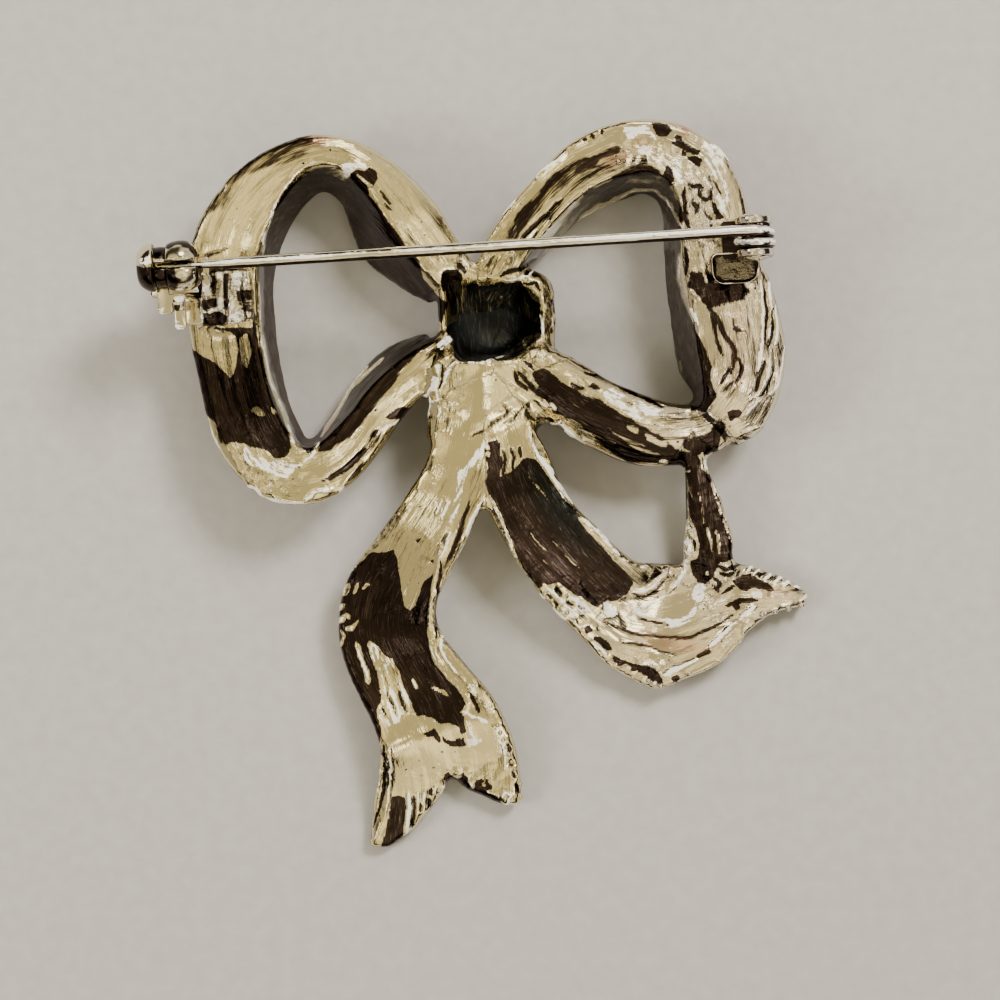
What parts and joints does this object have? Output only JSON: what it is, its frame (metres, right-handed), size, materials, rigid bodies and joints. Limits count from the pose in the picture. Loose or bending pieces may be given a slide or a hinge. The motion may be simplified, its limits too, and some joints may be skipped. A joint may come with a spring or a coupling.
{
  "type": "ribbon bow brooch",
  "caption": "Cast metal ribbon bow brooch, shown from the back: a hinged pin stem swings across two open loops and locks in a rolling safety catch.",
  "frame": {"origin": "middle of the brooch's footprint, on the floor that its front lies on", "axes": "+X towards the hinge end of the pin stem, +Y from the tails to the tops of the loops, +Z out of the back, from the front on the floor to the pin stem"},
  "size_m": [0.0501, 0.055, 0.0123],
  "materials": {
    "cast_silver": "polished silver-tone casting with fine ripples and pits",
    "rivet_silver": "polished, silver tone",
    "stem_steel": "bright drawn wire",
    "catch_silver": "polished, silver tone"
  },
  "bodies": {
    "bow": {"bow": "cast_silver", "hinge_rivet": "rivet_silver"},
    "pin_stem": {"pin_stem": "stem_steel"},
    "catch_barrel": {"catch_barrel": "catch_silver"}
  },
  "joints": [
    {"name": "pin_hinge", "type": "hinge", "parent": "bow", "child": "pin_stem", "pos_m": [0.01993, 0.01845, 0.00928], "axis": [-0.0628, 0.998, 0], "range_deg": [0, 90]},
    {"name": "catch_roll", "type": "hinge", "parent": "bow", "child": "catch_barrel", "pos_m": [-0.02337, 0.01612, 0.0104], "axis": [-0.998, -0.0628, 0], "range_deg": [0, 100]}
  ]
}
